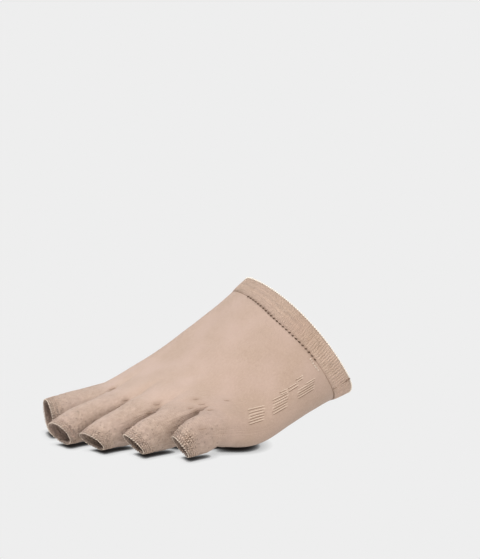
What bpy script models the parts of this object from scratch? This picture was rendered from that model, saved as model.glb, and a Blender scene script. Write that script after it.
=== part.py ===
"""Compression toe cap for a left foot, in the shape that it takes when it is worn.

A knitted forefoot sleeve runs from the instep to the roots of the toes. A folded cuff finishes its
back edge, and five short toe sleeves, each with an open hem, finish its front. The walls are
hollow and as thick as the fabric. Toes point to -X, the little toe lies at -Y, and +Z is up.
"""

import math
from collections import namedtuple

import bmesh
import bpy
import numpy as np

MM = 0.001

# Driving sizes. Each is a real size of the worn cap.
BALL_WIDTH = 92 * MM  # across the ball of the foot, outside the fabric
SOLE_LENGTH = 106 * MM  # along the floor, from the big toe's root to the cuff's edge under the foot
INSTEP_HEIGHT = 71 * MM  # from the floor to the crest of the cuff
TOE_REACH = 39 * MM  # from the big toe's root to the furthest toe opening
TOE_HEIGHT = 19 * MM  # the big toe's opening, from the sole to the nail
TOE_CLEARANCE = 1.2 * MM  # from the floor to an opening's lowest point
CUFF_WIDTH = 11.8 * MM
CUFF_THICKNESS = 2.0 * MM  # two layers of the fabric, folded
CUFF_PROUD = 0.45 * MM  # how far the cuff stands out of the sleeve's surface
HEM_WIDTH = 4.2 * MM
HEM_THICKNESS = 1.5 * MM
HEM_PROUD = 0.3 * MM
FABRIC = 1.1 * MM  # one layer of the knit
GAP = 0.3 * MM  # between pieces that are linked together
DORSAL_VALLEY = 5.5 * MM  # the furrows between the toes, on top
PLANTAR_VALLEY = 2.0 * MM  # the furrows between the toes, underneath
PAD_HOLLOW = 1.8 * MM  # from the floor to the sleeve, between a toe's pad and the ball of the foot

# How finely the pieces are divided.
TOP_STEPS = 6  # across the top of a middle toe
WEB_STEPS = 4  # down the side of a toe that faces its neighbour
END_STEPS = TOP_STEPS + WEB_STEPS // 2  # across the top of the big toe and the little toe
TOE_POINTS = 2 * (TOP_STEPS + WEB_STEPS)
CUFF_PROFILE_POINTS = 10
HEM_PROFILE_POINTS = 8
TOE_STATIONS = (0.0, 0.1, 0.22, 0.36, 0.52, 0.68, 0.84, 1.0)
SLEEVE_STATIONS = (0.0, 0.035, 0.08, 0.14, 0.21, 0.3, 0.4, 0.52, 0.64, 0.76, 0.88, 1.0)

# Sections of the forefoot from the toes' roots to the cuff's edge. x is a share of SOLE_LENGTH
# behind the big toe's root, z of INSTEP_HEIGHT above the floor, and y of BALL_WIDTH from the line
# of the big toe. crest and keel say how far across the highest and lowest points lie, from the
# medial side at 0 to the lateral side at 1. waist is the height of each side's widest point, as a
# share of the section's height. round is the superellipse power of that quarter: 2 is an ellipse
# and more is fuller.
Section = namedtuple(
    "Section",
    "along ridge_x ridge_z sole_x sole_z medial_y lateral_y crest keel"
    " waist_medial waist_lateral round_medial round_lateral round_under",
)
SECTIONS = [
    Section(0.00, 0.00, 0.340, 0.02, 0.014, 0.150, -0.850, 0.40, 0.5, 0.50, 0.50, 2.6, 3.4, 4.0),
    Section(0.15, 0.13, 0.415, 0.18, 0.000, 0.165, -0.870, 0.25, 0.5, 0.45, 0.42, 2.3, 2.3, 4.2),
    Section(0.30, 0.25, 0.488, 0.34, 0.010, 0.160, -0.880, 0.20, 0.5, 0.42, 0.36, 2.2, 2.1, 3.2),
    Section(0.50, 0.390, 0.646, 0.57, 0.080, 0.110, -0.865, 0.22, 0.5, 0.45, 0.34, 2.1, 2.1, 2.6),
    Section(0.75, 0.550, 0.854, 0.80, 0.148, 0.050, -0.830, 0.28, 0.5, 0.50, 0.33, 2.0, 2.1, 2.4),
    Section(1.00, 0.675, 1.020, 1.01, 0.200, 0.020, -0.785, 0.32, 0.5, 0.52, 0.34, 2.0, 2.1, 2.4),
]

# The line of the toes' roots, from the medial side of the big toe to the lateral side of the
# little toe. across is a share of the section's width, and back of BALL_WIDTH. valley is the depth
# of the furrow on top, as a share of DORSAL_VALLEY.
Web = namedtuple("Web", "across back valley")
WEBS = [
    Web(0.000, 0.02, 0.0),
    Web(0.270, -0.01, 0.25),
    Web(0.475, -0.03, 0.7),
    Web(0.660, 0.06, 0.65),
    Web(0.830, 0.24, 0.0),
    Web(1.000, 0.300, 0.0),
]
ROOT_LINE_FADE = 2.0  # how fast the curve of that line dies out towards the cuff

# The toes, from the big one to the little one. reach is a share of TOE_REACH, and y of BALL_WIDTH.
# The opening's width is a share of the toe's room at its root, and its height of TOE_HEIGHT.
# dip is the angle that the opening's axis points down and turn the angle that it points towards
# the little toe, in degrees. knuckle_rise, at the share knuckle_at of the way, is how far the toe
# arches above a straight line, as a share of TOE_HEIGHT.
Toe = namedtuple("Toe", "name reach y width height dip turn knuckle_at knuckle_rise knuckle_height")
TOES = [
    Toe("big_toe", 0.87, 0.000, 0.92, 0.90, 5, -14, 0.5, 0.00, 0.98),
    Toe("second_toe", 1.00, -0.240, 0.84, 0.70, 28, 12, 0.55, 0.14, 0.86),
    Toe("third_toe", 0.77, -0.430, 0.88, 0.70, 42, 14, 0.55, 0.12, 0.86),
    Toe("fourth_toe", 0.39, -0.600, 0.92, 0.70, 38, 2, 0.55, 0.13, 0.86),
    Toe("little_toe", -0.05, -0.775, 0.86, 0.68, 32, -6, 0.55, 0.18, 0.86),
]

KNIT_COLOUR = (0.62, 0.45, 0.35)
CUFF_COLOUR = (0.58, 0.41, 0.31)
KNIT_ROUGHNESS = 0.85


def catmull_rom(places, rows, place):
    """The rows' values at a place between them, on a smooth curve through every row."""
    index = int(np.clip(np.searchsorted(places, place) - 1, 0, len(places) - 2))
    span = places[index + 1] - places[index]
    share = (place - places[index]) / span

    def slope(i):
        before, after = max(i - 1, 0), min(i + 1, len(places) - 1)
        return (rows[after] - rows[before]) / (places[after] - places[before])

    square, cube = share**2, share**3
    return (
        (2 * cube - 3 * square + 1) * rows[index]
        + (cube - 2 * square + share) * span * slope(index)
        + (3 * square - 2 * cube) * rows[index + 1]
        + (cube - square) * span * slope(index + 1)
    )


def smoothstep(share):
    share = np.clip(share, 0.0, 1.0)
    return share * share * (3 - 2 * share)


def section_at(along):
    """The forefoot's section at a place between the rows of SECTIONS, in shares."""
    rows = np.array(SECTIONS)
    return Section(*catmull_rom(rows[:, 0], rows, along))


def root_line(across):
    """How far behind the big toe's root the roots' line lies, at a place across the foot."""
    rows = np.array(WEBS)
    return BALL_WIDTH * np.array([catmull_rom(rows[:, 0], rows, a)[1] for a in across])


def ring_places():
    """Places across the foot of a ring's points on top, from the lateral to the medial side."""
    webs = [web.across for web in WEBS]
    spread = 1 - np.cos(np.linspace(0, math.pi / 2, END_STEPS + 1))
    places = list(1 - (1 - webs[-2]) * spread)
    for far, near in zip(webs[-2:1:-1], webs[-3:0:-1]):
        places += list(np.linspace(far, near, TOP_STEPS + 1)[1:])
    return np.array(places + list((webs[1] * spread)[::-1][1:]))


def furrow(across):
    """0 on the middle of a toe and 1 on the web between two toes."""
    depths = []
    for place in across:
        index = next(i for i in range(1, len(WEBS)) if place <= WEBS[i].across + 1e-9)
        near, far = WEBS[index - 1].across, WEBS[index].across
        share = 2 * (place - near) / (far - near) - 1
        outside = (index == 1 and share < 0) or (index == len(WEBS) - 1 and share > 0)
        depths.append(0.0 if outside else abs(share) ** 2.5)
    return np.array(depths)


def height_share(across, peak, waist, top, round_near, round_far):
    """The section's height at each place across, on its top or its underside."""
    near = np.clip((peak - across) / peak, 0, 1)
    far = np.clip((across - peak) / (1 - peak), 0, 1)
    heights = []
    for place, n, f in zip(across, near, far):
        side, power = (n, round_near) if place < peak else (f, round_far)
        edge = waist[0] if place < peak else waist[1]
        heights.append(edge + (top - edge) * max(0.0, 1 - side**power) ** (1 / power))
    return np.array(heights)


def forefoot_ring(along):
    """One ring of the sleeve's outer surface: over the top to the medial side, and back under."""
    section = section_at(along)
    top = ring_places()
    under = top[::-1][1:-1]
    waist = (section.waist_medial, section.waist_lateral)
    rise = np.concatenate(
        [
            height_share(top, section.crest, waist, 1, section.round_medial, section.round_lateral),
            height_share(under, section.keel, waist, 0, section.round_under, section.round_under),
        ]
    )
    across = np.concatenate([top, under])
    ridge = np.array([section.ridge_x * SOLE_LENGTH, section.ridge_z * INSTEP_HEIGHT])
    sole = np.array([section.sole_x * SOLE_LENGTH, section.sole_z * INSTEP_HEIGHT])
    place = sole + rise[:, None] * (ridge - sole)
    y = BALL_WIDTH * (section.medial_y + across * (section.lateral_y - section.medial_y))
    x = place[:, 0] + root_line(across) * (1 - along) ** ROOT_LINE_FADE
    fade = math.exp(-((along / 0.11) ** 2))
    valley = furrow(across) * fade
    depth = DORSAL_VALLEY * np.interp(across, [web.across for web in WEBS], [web.valley for web in WEBS])
    on_top = np.arange(len(across)) < len(top)
    z = place[:, 1] + valley * np.where(on_top, -depth, PLANTAR_VALLEY)
    return np.column_stack([x, y, z])


def web_column(ring, web):
    """Points down the web between two toes, from the ring's top to its underside."""
    steps = END_STEPS + (len(WEBS) - 2 - web) * TOP_STEPS
    top, under = ring[steps], ring[len(ring) - steps]
    return np.array([top + (under - top) * i / WEB_STEPS for i in range(WEB_STEPS + 1)])


def toe_root(index):
    """The outline of a toe where it leaves the forefoot, GAP clear of the sleeve and of the webs.

    It starts on top at the lateral side, runs to the medial side, and comes back underneath.
    """
    ring = forefoot_ring(0.0)
    count = len(ring)
    starts = [0] + [END_STEPS + i * TOP_STEPS for i in range(len(TOES) - 1)]
    starts.append(starts[-1] + END_STEPS)
    place = len(TOES) - 1 - index
    first, last = starts[place], starts[place + 1]
    top = [ring[i] for i in range(first, last + 1)]
    under = [ring[(count - i) % count] for i in range(last, first - 1, -1)]
    medial = list(web_column(ring, index)[1:-1]) if index > 0 else []
    lateral = list(web_column(ring, index + 1)[1:-1][::-1]) if index < len(TOES) - 1 else []
    if index == 0:
        under = under[1:]
    if index == len(TOES) - 1:
        under = under[:-1]
    outline = np.array(top + medial + under + lateral)
    middle = outline.mean(0)
    half = np.abs(outline[:, 1] - middle[1]).max()
    outline[:, 1] = middle[1] + (outline[:, 1] - middle[1]) * (half - GAP / 2) / half
    slope = (WEBS[index + 1].back - WEBS[index].back) / (WEBS[index + 1].across - WEBS[index].across)
    outline[:, 0] -= GAP * (1 + abs(slope))
    return outline


def toe_angles(index):
    """The angle of each point round a toe: 0 is medial, 90 degrees is on top."""
    start = math.pi if index == len(TOES) - 1 else math.pi * (0.5 + TOP_STEPS / TOE_POINTS)
    return start - 2 * math.pi * np.arange(TOE_POINTS) / TOE_POINTS


def toe_ring(index, along):
    """One ring of a toe sleeve's outer surface, from its root at 0 to its opening at 1."""
    toe = TOES[index]
    root = toe_root(index)
    start = root.mean(0)
    room = np.ptp(root[:, 1])
    dip = math.radians(toe.dip)
    half_height = toe.height * TOE_HEIGHT / 2
    end_height = TOE_CLEARANCE + half_height * math.cos(dip)
    end = np.array([-toe.reach * TOE_REACH, toe.y * BALL_WIDTH, end_height])
    arch = np.array([0, 0, toe.knuckle_rise * TOE_HEIGHT])
    bump = np.sin(math.pi * along ** (math.log(0.5) / math.log(toe.knuckle_at)))
    centre = start + (end - start) * along + arch * bump
    lean = dip * smoothstep(along)
    turn = math.radians(toe.turn) * smoothstep(along)
    side = np.array([-math.sin(turn), math.cos(turn), 0])
    up = np.array([-math.sin(lean) * math.cos(turn), -math.sin(lean) * math.sin(turn), math.cos(lean)])
    width = room / 2 * (1 + (toe.width - 1) * smoothstep(along * 2))
    height = half_height * (1 + (toe.knuckle_height / toe.height - 1) * bump)
    angles = toe_angles(index)
    oval = centre + np.outer(width * np.cos(angles), side) + np.outer(height * np.sin(angles), up)
    moved = root + (centre - start)
    share = smoothstep(along / 0.6)
    ring = moved * (1 - share) + oval * share
    # The toe's pad lies on the floor, and a hollow parts it from the ball of the foot.
    middle, low, root_low = ring[:, 2].mean(), ring[:, 2].min(), root[:, 2].min()
    sole = root_low + (TOE_CLEARANCE - root_low) * along
    sole += PAD_HOLLOW * math.exp(-(((along - 0.25) / 0.15) ** 2)) * smoothstep(along * 8)
    below = np.where(ring[:, 2] < middle, (middle - ring[:, 2]) / (middle - low), 0)
    ring[:, 2] -= below * (low - sole)
    return ring


def outward(ring_at, along):
    """The unit normals of the outer surface at one ring."""
    step = 1e-3
    before, after = max(along - step, 0.0), min(along + step, 1.0)
    run = ring_at(after) - ring_at(before)
    ring = ring_at(along)
    round_it = np.roll(ring, -1, 0) - np.roll(ring, 1, 0)
    normal = np.cross(run, round_it)
    normal /= np.linalg.norm(normal, axis=1)[:, None]
    if ((ring - ring.mean(0)) * normal).sum() < 0:
        normal = -normal
    return normal


def mean_length(ring_at):
    """The mean length of the surface from its first ring to its last."""
    places = np.linspace(0, 1, 9)
    rings = np.array([ring_at(place) for place in places])
    return np.linalg.norm(np.diff(rings, axis=0), axis=2).sum(0).mean()


def material(name, colour):
    found = bpy.data.materials.new(name)
    found.use_nodes = True
    shader = found.node_tree.nodes["Principled BSDF"]
    shader.inputs["Base Color"].default_value = (*colour, 1)
    shader.inputs["Roughness"].default_value = KNIT_ROUGHNESS
    shader.inputs["Metallic"].default_value = 0
    return found


def mesh_object(name, rings, closed, finish):
    """An object whose faces join each ring to the next, and the last to the first if closed."""
    count = len(rings[0])
    faces = []
    for row in range(len(rings) if closed else len(rings) - 1):
        for i in range(count):
            after, ahead = (i + 1) % count, (row + 1) % len(rings)
            faces.append((row * count + i, row * count + after, ahead * count + after, ahead * count + i))
    mesh = bpy.data.meshes.new(name)
    mesh.from_pydata([tuple(p) for p in np.vstack(rings) - mouth_centre()], [], faces)
    mesh.validate()
    form = bmesh.new()
    form.from_mesh(mesh)
    bmesh.ops.recalc_face_normals(form, faces=form.faces)
    form.to_mesh(mesh)
    form.free()
    mesh.materials.append(finish)
    mesh.shade_smooth()
    made = bpy.data.objects.new(name, mesh)
    bpy.context.scene.collection.objects.link(made)
    return made


def cut_at_roots(outer, inner):
    """Lets a wall's inner edge follow the roots' line, as its outer edge does."""
    section = section_at(0.0)
    places = [
        np.clip((section.medial_y - edge[:, 1] / BALL_WIDTH) / (section.medial_y - section.lateral_y), 0, 1)
        for edge in (outer, inner)
    ]
    inner[:, 0] = outer[:, 0] + root_line(places[1]) - root_line(places[0])


def fabric_tube(name, ring_at, stations, finish):
    """A hollow tube of one layer of fabric, whose wall lies inside the given surface."""
    outer = [ring_at(place) for place in stations]
    inner = [ring_at(place) - outward(ring_at, place) * FABRIC for place in stations]
    cut_at_roots(outer[0], inner[0])
    return mesh_object(name, outer + inner[::-1], True, finish)


def folded_band(name, ring_at, start, thickness, proud, points, finish):
    """A ring of folded fabric with rounded edges, from start to the end of the surface."""
    rings = []
    for angle in np.arange(points) * 2 * math.pi / points:
        # A superellipse of power 4 gives the fold its flat faces and round edges.
        across, out = (
            0.5 + 0.5 * math.copysign(abs(part) ** 0.5, part)
            for part in (math.cos(angle), math.sin(angle))
        )
        place = start + (1 - start) * across
        depth = proud - thickness + thickness * out
        rings.append(ring_at(place) + outward(ring_at, place) * depth)
    return mesh_object(name, rings, True, finish)


def mouth_centre():
    """The middle of the cuff's mouth, where the foot goes in: the part's origin."""
    return forefoot_ring(1.0).mean(0)


def build():
    for obj in list(bpy.data.objects):
        bpy.data.objects.remove(obj, do_unlink=True)
    knit = material("knit", KNIT_COLOUR)
    welt = material("welt", CUFF_COLOUR)
    length = mean_length(forefoot_ring)
    seam = 1 - CUFF_WIDTH / length
    stations = [place * (seam - GAP / length) for place in SLEEVE_STATIONS]
    fabric_tube("forefoot_sleeve", forefoot_ring, stations, knit)
    folded_band(
        "cuff_band", forefoot_ring, seam, CUFF_THICKNESS, CUFF_PROUD, CUFF_PROFILE_POINTS, welt
    )
    for index, toe in enumerate(TOES):
        def ring_at(along, index=index):
            return toe_ring(index, along)

        length = mean_length(ring_at)
        hem = 1 - HEM_WIDTH / length
        stations = [place * (hem - GAP / length) for place in TOE_STATIONS]
        fabric_tube(f"{toe.name}_sleeve", ring_at, stations, knit)
        folded_band(
            f"{toe.name}_hem", ring_at, hem, HEM_THICKNESS, HEM_PROUD, HEM_PROFILE_POINTS, welt
        )


build()
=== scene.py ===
"""Looks of a compression toe cap: a knitted forefoot sleeve with five open toe sleeves.

It keeps the shape that it has on a left foot. Toes point to -X, the little toe lies at -Y, +Z is up.
"""

import functools
import math
from collections import namedtuple

import bmesh
import bpy
import numpy as np
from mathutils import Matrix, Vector, noise
from mathutils.bvhtree import BVHTree


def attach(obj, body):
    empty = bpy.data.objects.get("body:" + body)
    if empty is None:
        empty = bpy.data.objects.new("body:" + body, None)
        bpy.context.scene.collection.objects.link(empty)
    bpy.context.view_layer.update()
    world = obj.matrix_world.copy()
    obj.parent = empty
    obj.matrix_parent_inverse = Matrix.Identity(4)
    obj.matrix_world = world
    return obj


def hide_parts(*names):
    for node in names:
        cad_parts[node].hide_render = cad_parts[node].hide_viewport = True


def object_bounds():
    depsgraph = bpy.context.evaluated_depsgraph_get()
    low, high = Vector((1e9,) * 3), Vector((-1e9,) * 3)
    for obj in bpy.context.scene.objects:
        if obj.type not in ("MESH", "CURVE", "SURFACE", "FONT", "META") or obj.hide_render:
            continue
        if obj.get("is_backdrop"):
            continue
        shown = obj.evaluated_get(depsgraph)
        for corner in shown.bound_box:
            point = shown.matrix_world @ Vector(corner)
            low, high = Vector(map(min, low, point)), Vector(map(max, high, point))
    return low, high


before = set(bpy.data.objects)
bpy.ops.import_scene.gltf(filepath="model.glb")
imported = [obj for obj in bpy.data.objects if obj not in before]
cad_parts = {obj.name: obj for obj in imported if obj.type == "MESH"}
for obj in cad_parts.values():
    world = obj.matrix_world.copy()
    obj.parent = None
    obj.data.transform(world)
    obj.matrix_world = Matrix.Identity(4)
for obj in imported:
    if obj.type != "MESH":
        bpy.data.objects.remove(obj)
cad_low, cad_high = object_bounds()

# The photographer's table: a pale seamless floor under a big soft light, with a long lens that
# looks down a little at the outer side of the foot.

MM = 0.001
CAMERA_AZIMUTH = math.radians(-30)
CAMERA_ELEVATION = math.radians(13)
CAMERA_DISTANCE = 1500 * MM
CAMERA_AIM = Vector((-33.4, 4.7, 35.0)) * MM
IMAGE_LONG_SIDE = 559
FOCAL_PIXELS = 3000
SENSOR = 36.0
AIR_COLOUR = (0.98, 0.995, 1.04, 1.0)
AIR_STRENGTH = 0.78
FLOOR_SIZE = 12.0
FLOOR_DROP = 0.1 * MM  # below the lowest point of the cap
FLOOR_GREY = "#EEEEEE"
SHADOW_COLOUR = "#15110F"
CONTACT_REACH = 2.8 * MM  # how near the cap is to the floor where its shadow is black
CONTACT_POWER = 3.2
SHADOW_REACH = 5 * MM
SHADOW_POWER = 0.5


def linear(hex_colour):
    """A colour written in sRGB hex, as the linear values that Blender works in."""
    parts = [int(hex_colour[i : i + 2], 16) / 255 for i in (1, 3, 5)]
    return (*[p / 12.92 if p <= 0.04045 else ((p + 0.055) / 1.055) ** 2.4 for p in parts], 1.0)


def add_node(tree, kind, inputs=None, **settings):
    """A new node with its settings. An input is given a value, or linked to a socket or a node."""
    made = tree.nodes.new(kind)
    for name, value in settings.items():
        setattr(made, name, value)
    for key, value in (inputs or {}).items():
        if isinstance(value, bpy.types.Node):
            value = value.outputs[0]
        if isinstance(value, bpy.types.NodeSocket):
            tree.links.new(value, made.inputs[key])
        else:
            made.inputs[key].default_value = value
    return made


def new_object(name, data):
    """A new object in the scene, which holds a mesh, a camera or a lamp."""
    made = bpy.data.objects.new(name, data)
    bpy.context.scene.collection.objects.link(made)
    return made


def shine(name, strength, spread, towards, colour=(1.0, 1.0, 1.0)):
    """A big soft lamp, far off in one direction and spread over some degrees."""
    lamp = new_object(name, bpy.data.lights.new(name, "SUN"))
    lamp.data.energy = strength
    lamp.data.color = colour
    lamp.data.angle = math.radians(spread)
    lamp.rotation_mode = "QUATERNION"
    lamp.rotation_quaternion = Vector(towards).to_track_quat("Z", "Y")


camera = new_object("camera", bpy.data.cameras.new("camera"))
bpy.context.scene.camera = camera
level = math.cos(CAMERA_ELEVATION)
backwards = Vector(
    (math.sin(CAMERA_AZIMUTH) * level, -math.cos(CAMERA_AZIMUTH) * level, math.sin(CAMERA_ELEVATION))
)
camera.location = CAMERA_AIM + backwards * CAMERA_DISTANCE
camera.rotation_mode = "QUATERNION"
camera.rotation_quaternion = backwards.to_track_quat("Z", "Y")
camera.data.sensor_width = SENSOR
camera.data.lens = SENSOR * FOCAL_PIXELS / IMAGE_LONG_SIDE

bpy.context.scene.view_settings.view_transform = "Standard"
world = bpy.data.worlds.new("studio_air")
bpy.context.scene.world = world
world.use_nodes = True
air = world.node_tree.nodes["Background"]
air.inputs["Color"].default_value = AIR_COLOUR
air.inputs["Strength"].default_value = AIR_STRENGTH
shine("softbox", 2.42, 50, (-0.42, -0.10, 0.90))
shine("reflector", 1.75, 70, (-0.10, -0.90, 0.10), (1.0, 0.965, 0.925))

floor_mesh = bpy.data.meshes.new("floor")
half = FLOOR_SIZE / 2
floor_height = cad_low.z - FLOOR_DROP
floor_mesh.from_pydata(
    [(x, y, floor_height) for x, y in ((-half, -half), (half, -half), (half, half), (-half, half))],
    [],
    [(0, 1, 2, 3)],
)
floor = new_object("floor", floor_mesh)
floor_paint = bpy.data.materials.new("white_light_table")
floor_paint.use_nodes = True
floor_tree = floor_paint.node_tree
floor_tree.nodes.remove(floor_tree.nodes["Principled BSDF"])
# Painted shadow: the glowing floor is painted darker near the cap, by how much of the sky it sees
# there, once close by and once wider.
open_sky = []
for reach, power in ((CONTACT_REACH, CONTACT_POWER), (SHADOW_REACH, SHADOW_POWER)):
    seen = add_node(floor_tree, "ShaderNodeAmbientOcclusion", {"Distance": reach}, samples=16)
    sky_inputs = {0: seen.outputs["AO"], 1: power}
    open_sky.append(add_node(floor_tree, "ShaderNodeMath", sky_inputs, operation="POWER"))
brightness = add_node(floor_tree, "ShaderNodeMath", dict(enumerate(open_sky)), operation="MULTIPLY")
shaded = add_node(
    floor_tree,
    "ShaderNodeMix",
    {0: brightness, 6: linear(SHADOW_COLOUR), 7: linear(FLOOR_GREY)},
    data_type="RGBA",
)
glow = add_node(floor_tree, "ShaderNodeEmission", {"Color": shaded.outputs[2], "Strength": 1.0})
floor_tree.links.new(glow.outputs[0], floor_tree.nodes["Material Output"].inputs["Surface"])
floor.data.materials.append(floor_paint)
floor.visible_shadow = False  # the bright table also lights the toes from below
floor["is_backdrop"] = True

# The body of the cap: one circular-knit tube of nylon and elastane that grips the forefoot and
# divides at the webs into five narrower tubes, one for each toe. It is made here as one skin with
# no joins, by the same sizes and sections as the solid sleeves that it stands for.

BALL_WIDTH = 92 * MM
SOLE_LENGTH = 106 * MM
INSTEP_HEIGHT = 71 * MM
TOE_REACH = 39 * MM
TOE_HEIGHT = 19 * MM
TOE_CLEARANCE = 1.2 * MM
PAD_HOLLOW = 1.8 * MM
FABRIC = 1.1 * MM
GAP = 0.3 * MM
DORSAL_VALLEY = 5.5 * MM
PLANTAR_VALLEY = 2.0 * MM
CUFF_WIDTH = 11.8 * MM
HEM_WIDTH = 4.2 * MM
TUCK = 2.0 * MM  # how far the skin runs on under the cuff and the hems
WELD = 0.004 * MM

Section = namedtuple(
    "Section",
    "along ridge_x ridge_z sole_x sole_z medial_y lateral_y crest keel"
    " waist_medial waist_lateral round_medial round_lateral round_under",
)
SECTIONS = [
    Section(0.00, 0.00, 0.340, 0.02, 0.014, 0.150, -0.850, 0.40, 0.5, 0.50, 0.50, 2.6, 3.4, 4.0),
    Section(0.15, 0.13, 0.415, 0.18, 0.000, 0.165, -0.870, 0.25, 0.5, 0.45, 0.42, 2.3, 2.3, 4.2),
    Section(0.30, 0.25, 0.488, 0.34, 0.010, 0.160, -0.880, 0.20, 0.5, 0.42, 0.36, 2.2, 2.1, 3.2),
    Section(0.50, 0.390, 0.646, 0.57, 0.080, 0.110, -0.865, 0.22, 0.5, 0.45, 0.34, 2.1, 2.1, 2.6),
    Section(0.75, 0.550, 0.854, 0.80, 0.148, 0.050, -0.830, 0.28, 0.5, 0.50, 0.33, 2.0, 2.1, 2.4),
    Section(1.00, 0.675, 1.020, 1.01, 0.200, 0.020, -0.785, 0.32, 0.5, 0.52, 0.34, 2.0, 2.1, 2.4),
]
Web = namedtuple("Web", "across back valley")
WEBS = [
    Web(0.000, 0.02, 0.0),
    Web(0.270, -0.01, 0.25),
    Web(0.475, -0.03, 0.7),
    Web(0.660, 0.06, 0.65),
    Web(0.830, 0.24, 0.0),
    Web(1.000, 0.300, 0.0),
]
ROOT_LINE_FADE = 2.0
VALLEY_REACH = 0.11
Toe = namedtuple("Toe", "name reach y width height dip turn knuckle_at knuckle_rise knuckle_height")
TOES = [
    Toe("big_toe", 0.87, 0.000, 0.92, 0.90, 5, -14, 0.5, 0.00, 0.98),
    Toe("second_toe", 1.00, -0.240, 0.84, 0.70, 28, 12, 0.55, 0.14, 0.86),
    Toe("third_toe", 0.77, -0.430, 0.88, 0.70, 42, 14, 0.55, 0.12, 0.86),
    Toe("fourth_toe", 0.39, -0.600, 0.92, 0.70, 38, 2, 0.55, 0.13, 0.86),
    Toe("little_toe", -0.05, -0.775, 0.86, 0.68, 32, -6, 0.55, 0.18, 0.86),
]
# Steps across the top of a middle toe and down a web. The solid sleeves have 6 and 4, and the
# middle of their cuff's mouth is the origin.
Fineness = namedtuple("Fineness", "top web")
SOLID_FINENESS = Fineness(6, 4)
SKIN_FINENESS = Fineness(24, 12)
SKIN_RINGS = 104
TOE_RINGS = 50
# Places along a toe, from its root: where it has become an oval, and the hollow under it.
OVAL_AT = 0.6
HOLLOW_AT = 0.25
HOLLOW_REACH = 0.15


def catmull_rom(places, rows, place):
    """The rows' values at a place between them, on a smooth curve through every row."""
    index = int(np.clip(np.searchsorted(places, place) - 1, 0, len(places) - 2))
    span = places[index + 1] - places[index]
    share = (place - places[index]) / span

    def slope(i):
        before, after = max(i - 1, 0), min(i + 1, len(places) - 1)
        return (rows[after] - rows[before]) / (places[after] - places[before])

    square, cube = share**2, share**3
    return (
        (2 * cube - 3 * square + 1) * rows[index]
        + (cube - 2 * square + share) * span * slope(index)
        + (3 * square - 2 * cube) * rows[index + 1]
        + (cube - square) * span * slope(index + 1)
    )


def smoothstep(share):
    share = np.clip(share, 0.0, 1.0)
    return share * share * (3 - 2 * share)


def root_line(across):
    """How far behind the big toe's root the roots' line lies, at a place across the foot."""
    rows = np.array(WEBS)
    return BALL_WIDTH * np.array([catmull_rom(rows[:, 0], rows, a)[1] for a in across])


def end_steps(fine):
    return fine.top + fine.web // 2


@functools.lru_cache
def ring_places(fine):
    """Places across the foot of a ring's points on top, from the lateral to the medial side."""
    webs = [web.across for web in WEBS]
    spread = 1 - np.cos(np.linspace(0, math.pi / 2, end_steps(fine) + 1))
    places = list(1 - (1 - webs[-2]) * spread)
    for far, near in zip(webs[-2:1:-1], webs[-3:0:-1]):
        places += list(np.linspace(far, near, fine.top + 1)[1:])
    return np.array(places + list((webs[1] * spread)[::-1][1:]))


def furrow(across):
    """0 on the middle of a toe and 1 on the web between two toes."""
    depths = []
    for place in across:
        index = next(i for i in range(1, len(WEBS)) if place <= WEBS[i].across + 1e-9)
        near, far = WEBS[index - 1].across, WEBS[index].across
        share = 2 * (place - near) / (far - near) - 1
        outside = (index == 1 and share < 0) or (index == len(WEBS) - 1 and share > 0)
        depths.append(0.0 if outside else abs(share) ** 2.5)
    return np.array(depths)


def height_share(across, peak, waist, top, round_near, round_far):
    """The section's height at each place across, on its top or its underside."""
    near = across < peak
    side = np.where(near, (peak - across) / peak, (across - peak) / (1 - peak))
    power = np.where(near, round_near, round_far)
    edge = np.where(near, waist[0], waist[1])
    return edge + (top - edge) * np.maximum(0.0, 1 - np.clip(side, 0, 1) ** power) ** (1 / power)


@functools.lru_cache
def ring_layout(fine):
    """For each point of a ring: its place across, how deep in a furrow it is, and the roots' line."""
    top = ring_places(fine)
    across = np.concatenate([top, top[::-1][1:-1]])
    return across, furrow(across), root_line(across), len(top)


def turn_share(fine):
    """How far round the ring each point lies: 0 to 1 over the top from the medial side, on to 2."""
    across, _, _, top_count = ring_layout(fine)
    return np.where(np.arange(len(across)) < top_count, across, 2 - across)


def forefoot_ring(along, fine=SKIN_FINENESS):
    """One ring of the outer surface: over the top to the medial side, and back under."""
    rows = np.array(SECTIONS)
    section = Section(*catmull_rom(rows[:, 0], rows, along))
    across, furrows, roots, top_count = ring_layout(fine)
    top, under = across[:top_count], across[top_count:]
    waist = (section.waist_medial, section.waist_lateral)
    rise = np.concatenate(
        [
            height_share(top, section.crest, waist, 1, section.round_medial, section.round_lateral),
            height_share(under, section.keel, waist, 0, section.round_under, section.round_under),
        ]
    )
    ridge = np.array([section.ridge_x * SOLE_LENGTH, section.ridge_z * INSTEP_HEIGHT])
    sole = np.array([section.sole_x * SOLE_LENGTH, section.sole_z * INSTEP_HEIGHT])
    place = sole + rise[:, None] * (ridge - sole)
    y = BALL_WIDTH * (section.medial_y + across * (section.lateral_y - section.medial_y))
    x = place[:, 0] + roots * (1 - along) ** ROOT_LINE_FADE
    valley = furrows * math.exp(-((along / VALLEY_REACH) ** 2))
    depth = DORSAL_VALLEY * np.interp(across, [w.across for w in WEBS], [w.valley for w in WEBS])
    z = place[:, 1] + valley * np.where(np.arange(len(across)) < top_count, -depth, PLANTAR_VALLEY)
    return np.column_stack([x, y, z])


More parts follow.
